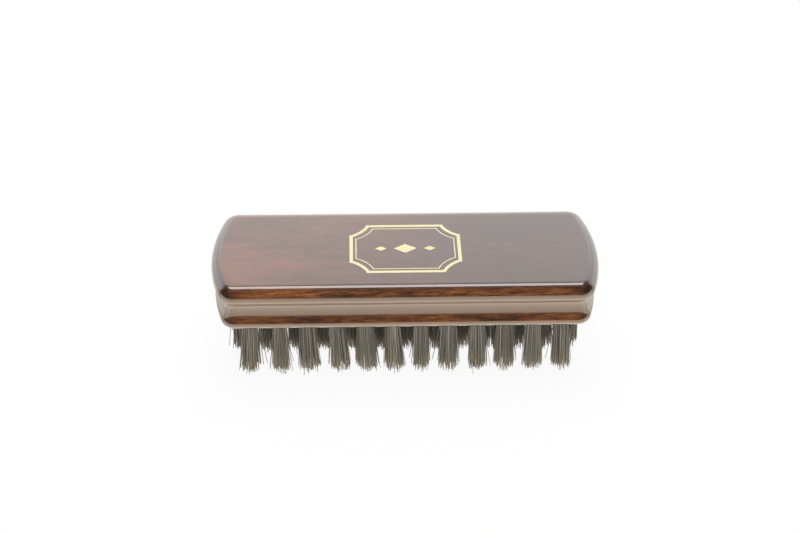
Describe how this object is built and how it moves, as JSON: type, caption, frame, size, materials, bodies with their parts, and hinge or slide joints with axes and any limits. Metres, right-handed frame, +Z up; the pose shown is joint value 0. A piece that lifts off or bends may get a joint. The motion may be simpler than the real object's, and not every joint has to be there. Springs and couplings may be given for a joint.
{
  "type": "upholstery brush",
  "caption": "Lacquered hardwood hand brush with a rolled top edge, a finger cove all round and staggered rows of dark bristle tufts set on wire anchors.",
  "frame": {"origin": "middle of the plane of the bristle tips, under the centre of the block", "axes": "+X along the block, -Y towards the side that the picture shows, +Z up from the tips to the flat top of the block"},
  "size_m": [0.125, 0.0436, 0.0373],
  "materials": {
    "lacquered_wood": "gloss lacquer over a mahogany stain",
    "bristle": "dark grey-brown hair with paler tips",
    "anchor_wire": "drawn flat wire"
  },
  "bodies": {
    "root": {"wood_block": "lacquered_wood", "bristle_row_front": "bristle", "bristle_row_front_inner": "bristle", "bristle_row_back_inner": "bristle", "bristle_row_back": "bristle", "anchor_front_01": "anchor_wire", "anchor_front_02": "anchor_wire", "anchor_front_03": "anchor_wire", "anchor_front_04": "anchor_wire", "anchor_front_05": "anchor_wire", "anchor_front_06": "anchor_wire", "anchor_front_07": "anchor_wire", "anchor_front_08": "anchor_wire", "anchor_front_09": "anchor_wire", "anchor_front_10": "anchor_wire", "anchor_front_11": "anchor_wire", "anchor_front_12": "anchor_wire", "anchor_front_inner_01": "anchor_wire", "anchor_front_inner_02": "anchor_wire", "anchor_front_inner_03": "anchor_wire", "anchor_front_inner_04": "anchor_wire", "anchor_front_inner_05": "anchor_wire", "anchor_front_inner_06": "anchor_wire", "anchor_front_inner_07": "anchor_wire", "anchor_front_inner_08": "anchor_wire", "anchor_front_inner_09": "anchor_wire", "anchor_front_inner_10": "anchor_wire", "anchor_front_inner_11": "anchor_wire", "anchor_front_inner_12": "anchor_wire", "anchor_front_inner_13": "anchor_wire", "anchor_back_inner_01": "anchor_wire", "anchor_back_inner_02": "anchor_wire", "anchor_back_inner_03": "anchor_wire", "anchor_back_inner_04": "anchor_wire", "anchor_back_inner_05": "anchor_wire", "anchor_back_inner_06": "anchor_wire", "anchor_back_inner_07": "anchor_wire", "anchor_back_inner_08": "anchor_wire", "anchor_back_inner_09": "anchor_wire", "anchor_back_inner_10": "anchor_wire", "anchor_back_inner_11": "anchor_wire", "anchor_back_inner_12": "anchor_wire", "anchor_back_inner_13": "anchor_wire", "anchor_back_01": "anchor_wire", "anchor_back_02": "anchor_wire", "anchor_back_03": "anchor_wire", "anchor_back_04": "anchor_wire", "anchor_back_05": "anchor_wire", "anchor_back_06": "anchor_wire", "anchor_back_07": "anchor_wire", "anchor_back_08": "anchor_wire", "anchor_back_09": "anchor_wire", "anchor_back_10": "anchor_wire", "anchor_back_11": "anchor_wire", "anchor_back_12": "anchor_wire"}
  },
  "joints": []
}
